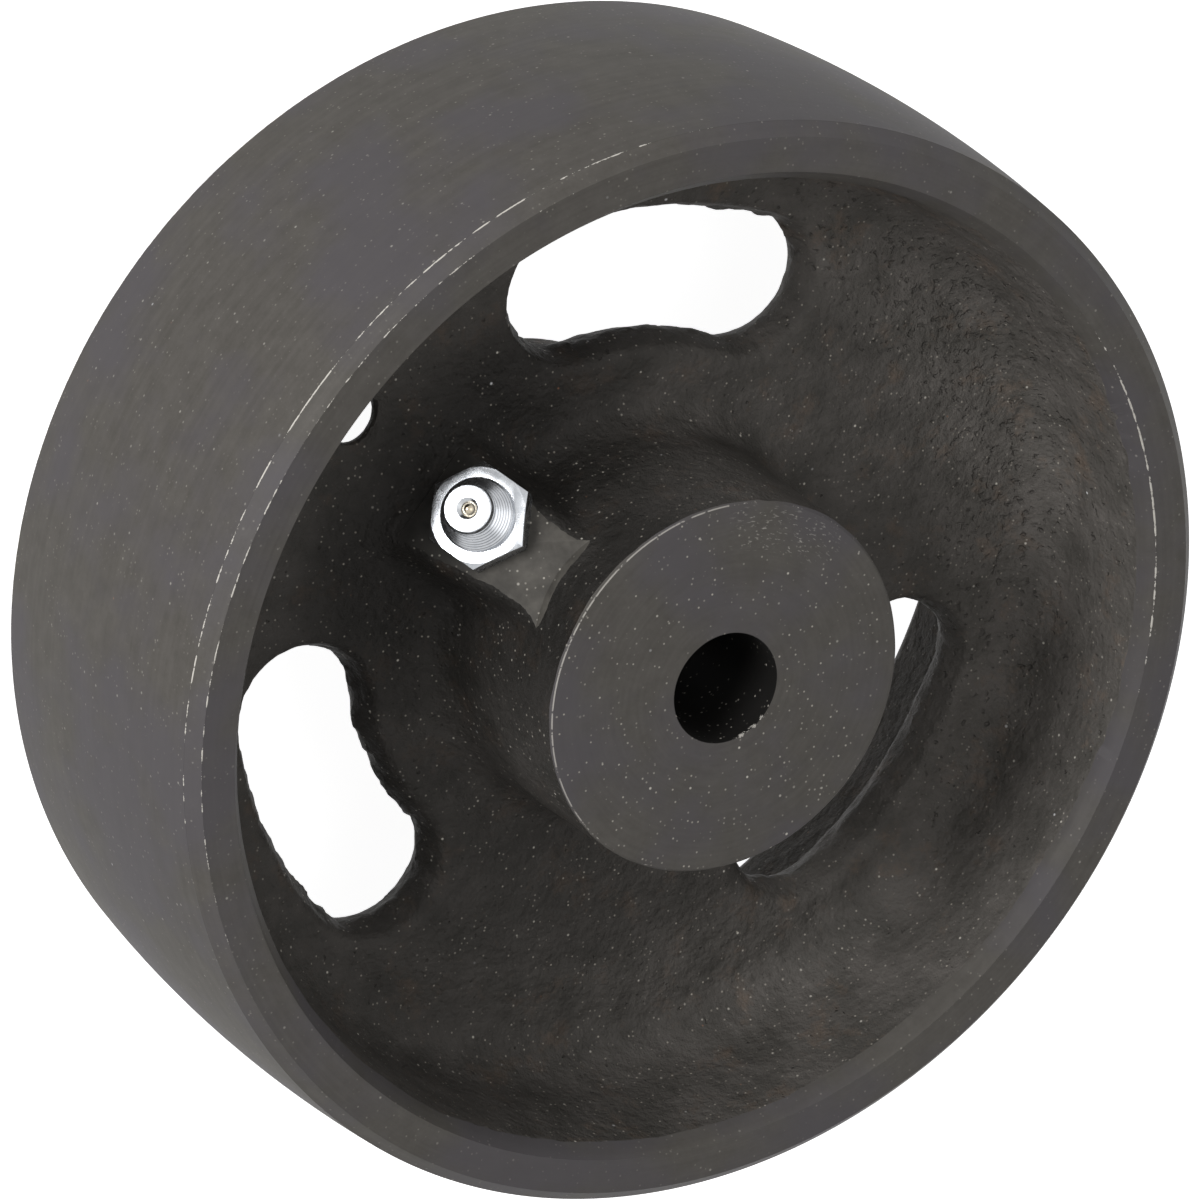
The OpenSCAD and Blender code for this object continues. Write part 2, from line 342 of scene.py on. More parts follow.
castPaint = {
    "dark": "#3b3936",
    "light": "#4b4845",
    "brown": "#554a41",
    # the next three are painted light and shade, set by trial with the lamps: a lit side, a lit hollow of the
    # rim and a shaded side beside the boss
    "paintedLitSide": (35, 125, 45, 0.84, 1.35),  # painted light: side where the skin is painted paler, its reach, darkest and palest
    "paintedBowlLight": 1.42,  # painted light: how much paler the hollow of the rim is painted than the web
    "paintedBossShade": (150, 60, 24, 0.5),  # painted shade: side beside the boss where the skin is painted darker, its reach, how dark
    # painted shade in the pits
    "pit": "#191817",
    "rough": (0.45, 0.65),
    "shine": 0.13,
    "cloud": 7,  # millimetres from one patch to the next, and so on down
    "grain": 0.9,
    "pitSize": 1.1,
    "pitted": (52, 62, 30, 62),  # from and to this radius, towards this side, its reach
    "lump": 2.4,
    "dust": [(0.18, 0.75, 0.45, "#a8a298"), (0.22, 2.0, 0.42, "#dcd7cc"), (0.26, 5.2, 0.35, "#ffffff"),
             (0.2, 4.0, 0.3, "#8f6a55")],
}


def turnedEdges():
    # radius and height of the tread's edge, the chamfer's, the bevel's, the hub's and the bore's
    c = casting
    return [
        (edgeRadius, faceHeight - c["chamferDown"]),
        (edgeRadius - c["chamferAcross"], faceHeight),
        (wallTopRadius + c["bevelAcross"], faceHeight),
        (hubRadius - c["hubEdge"] / 2, midHeight - 0.1),
        (boreRadius, midHeight),
    ]


def turnedIron():
    # turned cast iron under black lacquer: satin, dark grey, bare in dashes along its edges, with painted
    # highlights there and painted shade on the tread, the pad's end and in the bore
    material, tree, shader, where = newMaterial("turnedCastIronThinBlackLacquer")
    places = wheelPlaces(tree, where)
    look = turnedPaint
    cloud = addNode(tree, "ShaderNodeTexNoise", {
        "Vector": where, "Scale": 1 / look["cloud"], "Detail": 4.0, "Roughness": 0.6})
    wide = addNode(tree, "ShaderNodeTexNoise", {"Vector": where, "Scale": 1 / look["wide"], "Detail": 3.0})
    grain = addNode(tree, "ShaderNodeTexNoise", {
        "Vector": where, "Scale": 1 / look["grain"], "Detail": 3.0, "Roughness": 0.7})
    across = addNode(tree, "ShaderNodeMath", {0: places["radius"], 1: 1 / look["ring"]}, operation="MULTIPLY")
    along = addNode(tree, "ShaderNodeMath", {0: places["turn"], 1: 1.6}, operation="MULTIPLY")
    polar = addNode(tree, "ShaderNodeCombineXYZ", {0: across, 1: along, 2: places["height"]})
    rings = addNode(tree, "ShaderNodeTexNoise", {"Vector": polar, "Scale": 1.0, "Detail": 2.0})
    soft = addNode(tree, "ShaderNodeMix", {0: 0.35, 2: cloud, 3: grain}, data_type="FLOAT")
    both = addNode(tree, "ShaderNodeMix", {0: 0.3, 2: soft, 3: rings}, data_type="FLOAT")
    tone = addNode(tree, "ShaderNodeMapRange", {"Value": both, "From Min": 0.36, "From Max": 0.64})
    paint = addNode(tree, "ShaderNodeMix", {
        0: tone, 6: hexColour(look["dark"]), 7: hexColour(look["light"])}, data_type="RGBA")
    cool = addNode(tree, "ShaderNodeMapRange", {
        "Value": wide, "From Min": 0.44, "From Max": 0.62, "To Max": 0.7})
    paint = addNode(tree, "ShaderNodeMix", {
        0: cool, 6: paint, 7: hexColour(look["cool"])}, data_type="RGBA")
    # painted shade: the tread is painted darker than the faces, where the lamps light it more
    onTread = addNode(tree, "ShaderNodeMath", {0: places["radius"], 1: edgeRadius - 0.05},
                      operation="GREATER_THAN")
    level = addNode(tree, "ShaderNodeMapRange", {"Value": onTread, "To Min": 1.0, "To Max": look["tread"]})
    paint = addNode(tree, "ShaderNodeVectorMath", {0: paint, "Scale": level.outputs[0]}, operation="SCALE")
    # the pad is the only turned or milled face below the hub's end and inside the rim
    onPad = addNode(tree, "ShaderNodeMath", {0: places["height"], 1: midHeight - 0.6},
                    operation="LESS_THAN")
    offRim = addNode(tree, "ShaderNodeMath", {0: places["radius"], 1: wallTopRadius - 4},
                     operation="LESS_THAN")
    onPad = addNode(tree, "ShaderNodeMath", {0: onPad, 1: offRim}, operation="MULTIPLY")
    # painted shade: the pad's outer end is painted darker, where shade falls on it; a random mottle lies over
    # it
    near, far, least = look["padShade"]
    padShadeAndTone = addNode(tree, "ShaderNodeMapRange", {
        "Value": places["radius"], "From Min": near, "From Max": far, "To Min": 1.0, "To Max": least})
    mottled = addNode(tree, "ShaderNodeMapRange", {
        "Value": cloud, "From Min": 0.35, "From Max": 0.65, "To Min": 0.62, "To Max": 1.1})
    padShadeAndTone = addNode(tree, "ShaderNodeMath", {0: padShadeAndTone, 1: mottled}, operation="MULTIPLY")
    padPaint = addNode(tree, "ShaderNodeVectorMath", {
        0: hexColour(look["pad"])[:3], "Scale": padShadeAndTone.outputs[0]}, operation="SCALE")
    paint = addNode(tree, "ShaderNodeMix", {0: onPad, 6: paint, 7: padPaint}, data_type="RGBA")
    # painted shade: the bore is painted near black, for the shade deep in the hole
    inBore = addNode(tree, "ShaderNodeMath", {0: places["radius"], 1: boreRadius + 0.05},
                     operation="LESS_THAN")
    paint = addNode(tree, "ShaderNodeMix", {
        0: inBore, 6: paint, 7: hexColour(look["bore"])}, data_type="RGBA")
    # painted highlight and wear: pale marks along the edges, most on the sides where the light catches them
    wornAndGlinting = edgeWearAndGlint(tree, where, places, [
        dict(wearAndGlint, radius=radius, height=height)
        for (radius, height), wearAndGlint in zip(turnedEdges(), look["wearAndGlint"])])
    paint = addNode(tree, "ShaderNodeMix", {
        0: wornAndGlinting, 6: paint, 7: hexColour(look["bareAndGlint"])}, data_type="RGBA")
    # pale dashes near the hub's edge, on one side
    dash = look["dashes"]
    zone = band(tree, places["radius"], dash["from"], dash["to"], 1.0)
    side = sideShare(tree, places, dash["side"], dash["fade"], dash["fade"] / 2)
    zone = addNode(tree, "ShaderNodeMath", {0: zone, 1: side}, operation="MULTIPLY")
    fine = addNode(tree, "ShaderNodeMath", {0: places["radius"], 1: dash["across"]}, operation="MULTIPLY")
    run = addNode(tree, "ShaderNodeMath", {0: places["turn"], 1: dash["along"]}, operation="MULTIPLY")
    stretched = addNode(tree, "ShaderNodeCombineXYZ", {0: fine, 1: run})
    marks = addNode(tree, "ShaderNodeTexNoise", {"Vector": stretched, "Scale": 1.0, "Detail": 2.0})
    marks = addNode(tree, "ShaderNodeMapRange", {
        "Value": marks, "From Min": 0.6, "From Max": 0.72, "To Max": 0.5})
    marks = addNode(tree, "ShaderNodeMath", {0: marks, 1: zone}, operation="MULTIPLY")
    paint = addNode(tree, "ShaderNodeMix", {
        0: marks, 6: paint, 7: hexColour(look["bareAndGlint"])}, data_type="RGBA")
    # fewer grains on the rim's faces than on the hub's
    dusty = addNode(tree, "ShaderNodeMapRange", {
        "Value": places["radius"], "From Min": 44, "From Max": 46, "To Min": 1.0, "To Max": 0.3})
    paint = addDust(tree, where, paint, look["dust"], dusty)
    rough = addNode(tree, "ShaderNodeMapRange", {
        "Value": grain, "To Min": look["rough"][0], "To Max": look["rough"][1]})
    skin = addNode(tree, "ShaderNodeBump", {"Height": both, "Strength": 0.5, "Distance": 0.03 * mm})
    shine = addNode(tree, "ShaderNodeMapRange", {
        "Value": onTread, "To Min": look["shine"][0], "To Max": look["shine"][1]})
    tree.links.new(shine.outputs[0], shader.inputs["Specular IOR Level"])
    tree.links.new(paint.outputs[2], shader.inputs["Base Color"])
    tree.links.new(rough.outputs[0], shader.inputs["Roughness"])
    tree.links.new(skin.outputs[0], shader.inputs["Normal"])
    return material


def castIron():
    # sand-cast iron under black lacquer: nearly black, uneven, with fine sand grain and a pitted stretch,
    # with painted light and shade by side and radius and painted shade in the pits
    material, tree, shader, where = newMaterial("sandCastIronBlackLacquer")
    places = wheelPlaces(tree, where)
    look = castPaint
    cloud = addNode(tree, "ShaderNodeTexNoise", {
        "Vector": where, "Scale": 1 / look["cloud"], "Detail": 6.0, "Roughness": 0.65})
    sand = addNode(tree, "ShaderNodeTexNoise", {
        "Vector": where, "Scale": 1 / look["grain"], "Detail": 4.0, "Roughness": 0.65})
    tone = addNode(tree, "ShaderNodeMapRange", {"Value": cloud, "From Min": 0.35, "From Max": 0.65})
    paint = addNode(tree, "ShaderNodeMix", {
        0: tone, 6: hexColour(look["dark"]), 7: hexColour(look["light"])}, data_type="RGBA")
    aside = addNode(tree, "ShaderNodeVectorMath", {0: where, 1: (11.0, 50.0, 8.0)}, operation="ADD")
    tint = addNode(tree, "ShaderNodeTexNoise", {
        "Vector": aside, "Scale": 1 / look["cloud"], "Detail": 5.0, "Roughness": 0.75})
    rusty = addNode(tree, "ShaderNodeMapRange", {"Value": tint, "From Min": 0.55, "From Max": 0.8})
    paint = addNode(tree, "ShaderNodeMix", {
        0: rusty, 6: paint, 7: hexColour(look["brown"])}, data_type="RGBA")
    # painted light: the skin is painted paler on the side where the lamps fall
    towards, low, high, least, most = look["paintedLitSide"]
    paintedLight = sideShare(tree, places, towards, low, high)
    paintedLight = addNode(tree, "ShaderNodeMapRange", {"Value": paintedLight, "To Min": least, "To Max": most})
    # painted light: the hollow of the rim is painted paler than the web
    paintedBowlLight = addNode(tree, "ShaderNodeMapRange", {
        "Value": places["radius"], "From Min": 46, "From Max": 53, "To Min": 1.0, "To Max": look["paintedBowlLight"]})
    # painted shade: the skin beside the boss, on the side away from the lamps, is painted darker
    towards, low, high, least = look["paintedBossShade"]
    dark = sideShare(tree, places, towards, low, high)
    inside = band(tree, places["radius"], 20, 42, 8)
    dark = addNode(tree, "ShaderNodeMath", {0: dark, 1: inside}, operation="MULTIPLY")
    dark = addNode(tree, "ShaderNodeMapRange", {"Value": dark, "To Min": 1.0, "To Max": least})
    paintedLight = addNode(tree, "ShaderNodeMath", {0: paintedLight, 1: paintedBowlLight}, operation="MULTIPLY")
    paintedLight = addNode(tree, "ShaderNodeMath", {0: paintedLight, 1: dark}, operation="MULTIPLY")
    paint = addNode(tree, "ShaderNodeVectorMath", {0: paint, "Scale": paintedLight.outputs[0]}, operation="SCALE")
    # pits: few everywhere, many in the hollow of the rim on one side
    near, far, towards, reach = look["pitted"]
    hollow = band(tree, places["radius"], near, far, 7)
    side = sideShare(tree, places, towards, reach, 20)
    zone = addNode(tree, "ShaderNodeMath", {0: hollow, 1: side}, operation="MULTIPLY")
    holes = addNode(tree, "ShaderNodeTexNoise", {
        "Vector": aside, "Scale": 1 / look["pitSize"], "Detail": 2.0, "Roughness": 0.5})
    start = addNode(tree, "ShaderNodeMapRange", {"Value": zone, "To Min": 0.7, "To Max": 0.58})
    depth = addNode(tree, "ShaderNodeMath", {0: holes, 1: start}, operation="SUBTRACT")
    pits = addNode(tree, "ShaderNodeMapRange", {"Value": depth, "From Min": 0.0, "From Max": 0.1})
    # painted shade: the pits are painted near black, for the shade inside them
    pitShade = addNode(tree, "ShaderNodeMath", {0: pits, 1: 0.15}, operation="MULTIPLY")
    paint = addNode(tree, "ShaderNodeMix", {
        0: pitShade, 6: paint, 7: hexColour(look["pit"])}, data_type="RGBA")
    paint = addDust(tree, where, paint, look["dust"])
    rough = addNode(tree, "ShaderNodeMapRange", {
        "Value": sand, "To Min": look["rough"][0], "To Max": look["rough"][1]})
    sandHigh = addNode(tree, "ShaderNodeMapRange", {"Value": zone, "To Min": 0.75, "To Max": 1.2})
    raised = addNode(tree, "ShaderNodeMath", {0: sand, 1: sandHigh}, operation="MULTIPLY")
    lumps = addNode(tree, "ShaderNodeTexNoise", {
        "Vector": where, "Scale": 1 / look["lump"], "Detail": 3.0, "Roughness": 0.55})
    raised = addNode(tree, "ShaderNodeMath", {0: lumps, 1: 1.5, 2: raised}, operation="MULTIPLY_ADD")
    height = addNode(tree, "ShaderNodeMath", {0: pits, 1: -0.7, 2: raised}, operation="MULTIPLY_ADD")
    skin = addNode(tree, "ShaderNodeBump", {"Height": height, "Strength": 1.0, "Distance": 0.42 * mm})
    shader.inputs["Specular IOR Level"].default_value = look["shine"]
    tree.links.new(paint.outputs[2], shader.inputs["Base Color"])
    tree.links.new(rough.outputs[0], shader.inputs["Roughness"])
    tree.links.new(skin.outputs[0], shader.inputs["Normal"])
    return material


# the colour of the painted shade in the neck's grooves
zincLook = {"dark": "#a4a8ae", "light": "#d6d8db", "ringShade": "#54565b", "rough": (0.16, 0.36), "cloud": 1.2}


def zincPlate():
    # bright zinc plate on turned steel: pale, glossy metal, faintly cloudy, with painted shade in the neck's
    # rings
    material, tree, shader, where = newMaterial("brightZincPlatedSteel")
    look = zincLook
    cloud = addNode(tree, "ShaderNodeTexNoise", {
        "Vector": where, "Scale": 1 / look["cloud"], "Detail": 4.0, "Roughness": 0.6})
    colour = addNode(tree, "ShaderNodeMix", {
        0: cloud, 6: hexColour(look["dark"]), 7: hexColour(look["light"])}, data_type="RGBA")
    # painted shade: dark lines in the turned rings of the neck, where the grooves lie in shade
    n = nipple
    foot, top = neckEnds()
    fromSeat = addNode(tree, "ShaderNodeVectorMath", {
        0: where, 1: tuple(seatPlace.translation / mm)}, operation="SUBTRACT")
    along = addNode(tree, "ShaderNodeVectorMath", {0: fromSeat, 1: tuple(seatAxis)}, operation="DOT_PRODUCT")
    phase = addNode(tree, "ShaderNodeMapRange", {
        "Value": along.outputs["Value"], "From Min": foot, "From Max": top,
        "To Max": math.tau * n["rings"]})
    ring = addNode(tree, "ShaderNodeMath", {0: phase}, operation="COSINE")
    groove = addNode(tree, "ShaderNodeMapRange", {
        "Value": ring, "From Min": 0.3, "From Max": -0.9, "To Max": 0.8})
    colour = addNode(tree, "ShaderNodeMix", {
        0: groove, 6: colour.outputs[2], 7: hexColour(look["ringShade"])}, data_type="RGBA")
    rough = addNode(tree, "ShaderNodeMapRange", {
        "Value": cloud, "To Min": look["rough"][0], "To Max": look["rough"][1]})
    skin = addNode(tree, "ShaderNodeBump", {"Height": cloud, "Strength": 0.3, "Distance": 0.02 * mm})
    shader.inputs["Metallic"].default_value = 1.0
    tree.links.new(colour.outputs[2], shader.inputs["Base Color"])
    tree.links.new(rough.outputs[0], shader.inputs["Roughness"])
    tree.links.new(skin.outputs[0], shader.inputs["Normal"])
    return material


def polishedSteel(name, dark, light, low, high):
    # hard steel, ground or drawn: even metal with fine marks
    material, tree, shader, where = newMaterial(name)
    markSize = 0.5
    mark = addNode(tree, "ShaderNodeTexNoise", {"Vector": where, "Scale": 1 / markSize, "Detail": 3.0})
    colour = addNode(tree, "ShaderNodeMix", {
        0: mark, 6: hexColour(dark), 7: hexColour(light)}, data_type="RGBA")
    rough = addNode(tree, "ShaderNodeMapRange", {"Value": mark, "To Min": low, "To Max": high})
    shader.inputs["Metallic"].default_value = 1.0
    tree.links.new(colour.outputs[2], shader.inputs["Base Color"])
    tree.links.new(rough.outputs[0], shader.inputs["Roughness"])
    return material


def blendCentre(draft, radius):
    turn = math.radians(draft)
    return radius * (1 - math.sin(turn)) / math.cos(turn)


def rawOutline():
    spare = casting["allowance"]
    hubFoot = hubRadius + (midHeight - webHalf) * hubTan
    wallFoot = wallTopRadius - (wallTopHeight - webHalf) * rimTan
    rimTop = faceHeight + spare
    half = [(boreRadius - spare, midHeight + spare), (hubRadius - spare * hubTan, midHeight + spare)]
    half += arcPoints(
        hubFoot + blendCentre(casting["hubDraft"], casting["hubBlend"]),
        webHalf + casting["hubBlend"], casting["hubBlend"], 180 + casting["hubDraft"], 270, 10)
    half += arcPoints(
        wallFoot - blendCentre(casting["rimDraft"], casting["rimBlend"]),
        webHalf + casting["rimBlend"], casting["rimBlend"], 270, 360 - casting["rimDraft"], 14)
    half += [(wallTopRadius + (rimTop - wallTopHeight) * rimTan, rimTop), (wheelRadius + spare, rimTop)]
    return mirrored(half)


def turnedOutline():
    # what the lathe leaves: tread, chamfers, faces, bevels, hub faces and bore
    c = casting
    slope = c["bevelDown"] / c["bevelAcross"]
    runIn = 2.2
    clear = 3.0
    half = [
        (boreRadius, midHeight),
        (hubRadius - c["hubRollWide"], midHeight),
        (hubRadius - c["hubEdge"], midHeight - c["hubRollDeep"]),
        (hubRadius + clear, midHeight - c["hubEdge"] - clear),
        (wallTopRadius - 9, midHeight - c["hubEdge"] - clear),
        (wallTopRadius - runIn, wallTopHeight - runIn * slope),
        (wallTopRadius + c["bevelAcross"], faceHeight),
        (edgeRadius - c["chamferAcross"], faceHeight),
    ]
    crownHalf = faceHeight - c["chamferDown"]
    crownRadius = (crownHalf ** 2 + c["crownRise"] ** 2) / (2 * c["crownRise"])
    for i in range(9):
        up = crownHalf * (1 - i / 8)
        half.append((wheelRadius - crownRadius + math.sqrt(crownRadius ** 2 - up ** 2), up))
    return mirrored(half)


castMetal = castIron()
turnedMetal = turnedIron()
rawWheel = lathe("rawWheel", rawOutline(), casting["castSteps"])
finish(rawWheel, castMetal)
place(rawWheel, toMiddle)
print("raw wheel", len(rawWheel.data.polygons))

boss = {
    "direction": 152.9,
    "nippleDirection": 151,
    "tilt": 50,
    "seatRadius": 33.5,
    "seatHeight": 13.35,
    "padWidth": 15,
    "draft": 6,
    "corner": 4,
    "foot": 2.5,  # height of the foot's slope above the web
    "toeRadius": 45.7,
    "toeCorner": 6,
    "spare": 0.35,  # cast metal that the mill takes off
    "millTop": 17,  # from the seat's centre up to the hub, along the pad
    "millFoot": 7.8,
    "millWidth": 18,
    "millClear": 0.25,  # left between the cutter and the hub's side
    "tapDiameter": 8.1,
    "tapDepth": 7.5,
    "passage": 4,
}
bossTurn = math.radians(boss["direction"])
nippleTurn = math.radians(boss["nippleDirection"])
bossTilt = math.radians(boss["tilt"])
seatPlace = (
    toMiddle
    @ Matrix.Rotation(nippleTurn, 4, "Z")
    @ Matrix.Translation((boss["seatRadius"] * mm, 0, boss["seatHeight"] * mm))
    @ Matrix.Rotation(bossTilt, 4, "Y")
)
seatAxis = seatPlace.to_3x3() @ Vector((0, 0, 1))


def bossLevel(width, end, corner, slope, height):
    # a block from the hub outwards; its outer corners are rounded and its sides slope in to the top
    start = 15
    clearSelection()
    bpy.ops.mesh.primitive_cube_add(size=mm)
    block = bpy.context.active_object
    for vertex in block.data.vertices:
        vertex.co.x = (end if vertex.co.x > 0 else start) * mm
        vertex.co.y = math.copysign(width / 2, vertex.co.y) * mm
        vertex.co.z = (height if vertex.co.z > 0 else 0) * mm
    editAll(block)
    bpy.ops.mesh.select_mode(type="EDGE")
    bpy.ops.mesh.select_all(action="DESELECT")
    bpy.ops.object.mode_set(mode="OBJECT")
    for edge in block.data.edges:
        first, second = (block.data.vertices[i].co / mm for i in edge.vertices)
        edge.select = first.x > start + 1 and second.x > start + 1 and abs(first.z - second.z) > 1
    bpy.ops.object.mode_set(mode="EDIT")
    bpy.ops.mesh.bevel(offset=corner * mm, segments=8)
    bpy.ops.mesh.select_mode(type="VERT")
    bpy.ops.object.mode_set(mode="OBJECT")
    kept = 1 - slope * height / corner
    for vertex in block.data.vertices:
        if vertex.co.z < mm:
            continue
        side = math.copysign((width / 2 - corner) * mm, vertex.co.y)
        vertex.co.y = side + (vertex.co.y - side) * kept
        if vertex.co.x > (end - corner) * mm:
            vertex.co.x = (end - corner) * mm + (vertex.co.x - (end - corner) * mm) * kept
    return block


def overPad():
    # all that stays open above the cast pad, down to the hollow blend from its end into the web
    lift = boss["spare"] / math.sin(bossTilt)
    footRadius = boss["seatRadius"] + (boss["seatHeight"] - webHalf) / math.tan(bossTilt) + lift
    blend = (boss["toeRadius"] - footRadius) / math.tan(bossTilt / 2)
    reach = 60
    high = boss["seatHeight"] + reach * math.sin(bossTilt)
    outline = [(boss["seatRadius"] + lift - reach * math.cos(bossTilt), high)]
    outline += arcPoints(boss["toeRadius"], webHalf + blend, blend, 270 - boss["tilt"], 262, 8)
    outline += [(boss["toeRadius"] + 1, webHalf - 0.1), (reach + 20, webHalf - 0.1), (reach + 20, high)]
    tool = drawOutline("overPad", outline)
    bpy.ops.mesh.select_all(action="SELECT")
    bpy.ops.mesh.extrude_region_move(TRANSFORM_OT_translate={"value": (0, 2 * reach * mm, 0)})
    bpy.ops.mesh.select_all(action="SELECT")
    bpy.ops.mesh.fill_holes(sides=0)
    cleanUp(tool)
    place(tool, toMiddle @ Matrix.Rotation(nippleTurn, 4, "Z") @ Matrix.Translation((0, -reach * mm, 0)))
    return tool


def addBossCore():
    draft = math.tan(math.radians(boss["draft"]))
    lowWidth = boss["padWidth"] + 2 * boss["seatHeight"] * draft
    footHeight = webHalf + boss["foot"]
    padFoot = boss["seatRadius"] + (boss["seatHeight"] - webHalf) / math.tan(bossTilt)
    core = bossLevel(lowWidth, padFoot + 2, boss["corner"], draft, midHeight - 1)
    foot = bossLevel(lowWidth + 2 * footHeight * (1 - draft), boss["toeRadius"] + webHalf,
                     boss["toeCorner"] + webHalf, 1, footHeight)
    cut(core, foot, "UNION")
    place(core, toMiddle @ Matrix.Rotation(bossTurn, 4, "Z"))
    cut(core, overPad())
    return core


cut(rawWheel, addBossCore(), "UNION")
print("boss", len(rawWheel.data.polygons))

slots = {
    "count": 3,
    "middle": 46.1,
    "width": 16.2,
    "span": 33,
    "draft": 22,
    "first": 94.1,
    "past": 3,
    "ragged": 0.5,
}
slotAngles = [math.radians(slots["first"] + 360 / slots["count"] * i) for i in range(slots["count"])]


def slotCutters(direction):
    # a swept waist and a double cone at each end: narrowest at the middle of the web
    height = webHalf + slots["past"]
    flare = height * math.tan(math.radians(slots["draft"]))
    halfWidth = slots["width"] / 2
    halfSpan = math.radians(slots["span"] / 2)
    inner = slots["middle"] - halfWidth
    outer = slots["middle"] + halfWidth
    section = [(inner, 0), (inner - flare, height), (outer + flare, height),
               (outer, 0), (outer + flare, -height), (inner - flare, -height)]
    tools = [lathe("slotWaist", section, 24, 2 * halfSpan, direction - halfSpan)]
    place(tools[0], toMiddle)
    for end in (-1, 1):
        turn = direction + end * halfSpan
        for side in (-1, 1):
            radii = (halfWidth, halfWidth + flare) if side > 0 else (halfWidth + flare, halfWidth)
            clearSelection()
            bpy.ops.mesh.primitive_cone_add(
                vertices=64, radius1=radii[0] * mm, radius2=radii[1] * mm, depth=height * mm,
                location=(slots["middle"] * math.cos(turn) * mm, slots["middle"] * math.sin(turn) * mm,
                          (midHeight + side * height / 2) * mm))
            tools.append(bpy.context.active_object)
    return tools


for direction in slotAngles:
    for tool in slotCutters(direction):
        cut(rawWheel, tool)

coreHole = {"radius": 50, "direction": 150, "lean": 35, "points": 9, "across": 5.5, "along": 8.2}


def cutCoreHole():
    turn = math.radians(coreHole["direction"])
    clearSelection()
    bpy.ops.mesh.primitive_cylinder_add(vertices=coreHole["points"], radius=mm / 2, depth=18 * mm)
    tool = bpy.context.active_object
    for corner in tool.data.vertices:
        wobble = 1 + 0.16 * noise.noise(Vector((corner.co.x / mm * 3, corner.co.y / mm * 3, 4.2)))
        corner.co.x *= coreHole["across"] * wobble
        corner.co.y *= coreHole["along"] * wobble
    place(tool, toMiddle @ Matrix.Rotation(turn, 4, "Z")
          @ Matrix.Translation((coreHole["radius"] * mm, 0, 0))
          @ Matrix.Rotation(math.radians(coreHole["lean"]), 4, "Y"))
    cut(rawWheel, tool)


cutCoreHole()
print("slots", len(rawWheel.data.polygons))

# the cast skin: one even grid, softened, then roughened
bpy.context.view_layer.update()
applyModifier(rawWheel, "REMESH", mode="VOXEL", voxel_size=casting["grid"] * mm, adaptivity=0)
finish(rawWheel, castMetal)
print("cast skin", len(rawWheel.data.polygons))


def bossBlend(point):
    # 1 close round the boss, 0 away from it
    across = point.x * math.cos(bossTurn) + point.y * math.sin(bossTurn)
    aside = abs(-point.x * math.sin(bossTurn) + point.y * math.cos(bossTurn))
    up = point.z - midHeight
    if up < 1:
        return 0.0
    near = (1 - smoothStep(11, 16, aside)) * (1 - smoothStep(22, 27, up))
    return near * smoothStep(22, 26, across) * (1 - smoothStep(46, 52, across))


def addWeights(obj, name, weigh):
    group = obj.vertex_groups.new(name=name)
    for vertex in obj.data.vertices:
        weight = weigh(vertex.co / mm)
        if weight > 0.01:
            group.add([vertex.index], weight, "REPLACE")


addWeights(rawWheel, "bossBlend", bossBlend)
applyModifier(rawWheel, "SMOOTH", factor=0.5, iterations=4)
applyModifier(rawWheel, "SMOOTH", factor=0.5, iterations=40, vertex_group="bossBlend")


def slotRagged(point):
    # shift in the plane of the web, for points on a slot's wall
    up = point.z - midHeight
    if abs(up) > webHalf:
        return None
    radius = math.hypot(point.x, point.y)
    if abs(radius - slots["middle"]) > slots["width"] / 2 + 4:
        return None
    turn = math.atan2(point.y, point.x)
    for direction in slotAngles:
        off = (turn - direction + math.pi) % math.tau - math.pi
        if abs(off) > math.radians(slots["span"] / 2 + 14):
            continue
        held = direction + max(min(off, math.radians(slots["span"] / 2)), -math.radians(slots["span"] / 2))
        centre = Vector((slots["middle"] * math.cos(held), slots["middle"] * math.sin(held), 0))
        out = Vector((point.x, point.y, 0)) - centre
        gap = out.length - slots["width"] / 2
        if abs(gap) > 3:
            continue
        out.normalize()
        sample = Vector((point.x, point.y, point.z * 0.6))
        chips = noise.fractal(sample / 2.2, 0.9, 2.1, 3) * 0.7 + noise.fractal(sample / 6, 1, 2, 2) * 0.6
        ridge = math.exp(-((up / 1.6) ** 2))
        return out * chips * slots["ragged"] * (0.35 + ridge)
    return None


def castRoughness(point):
    # height of the cast skin's waves, lumps and pits
    turn = math.degrees(math.atan2(point.y, point.x))
    radius = math.hypot(point.x, point.y)
    rough = math.exp(-((turn - 32) / 34) ** 2) * smoothStep(44, 54, radius)
    wave = noise.fractal(point / 15, 1, 2, 2) * 0.16
    lumps = noise.fractal(point / 3.4, 0.9, 2.1, 3) * (0.07 + 0.12 * rough)
    pit = noise.noise(point / 1.9 + Vector((7, 3, 1)))
    pits = -max(pit - 0.35, 0) * (0.25 + 0.9 * rough)
    return wave + lumps + pits


def roughenSkin(obj):
    # normals are read first, because moving a vertex makes Blender work them all out again
    points = [vertex.co / mm for vertex in obj.data.vertices]
    normals = [vertex.normal.copy() for vertex in obj.data.vertices]
    moved = []
    for point, normal in zip(points, normals):
        radius = math.hypot(point.x, point.y)
        if boreRadius + 2 < radius < wheelRadius - 2:
            ragged = slotRagged(point)
            point = point + normal * castRoughness(point)
            if ragged is not None:
                point = point + ragged
        moved += [point.x * mm, point.y * mm, point.z * mm]
    obj.data.vertices.foreach_set("co", moved)
    obj.data.update()


roughenSkin(rawWheel)
print("roughened")

# machining: the lathe, then the mill and the drills
turned = lathe("turned", turnedOutline(), casting["turnedSteps"])
place(turned, toMiddle)
cut(rawWheel, turned, "INTERSECT", turnedMetal)
print("turned", len(rawWheel.data.polygons))


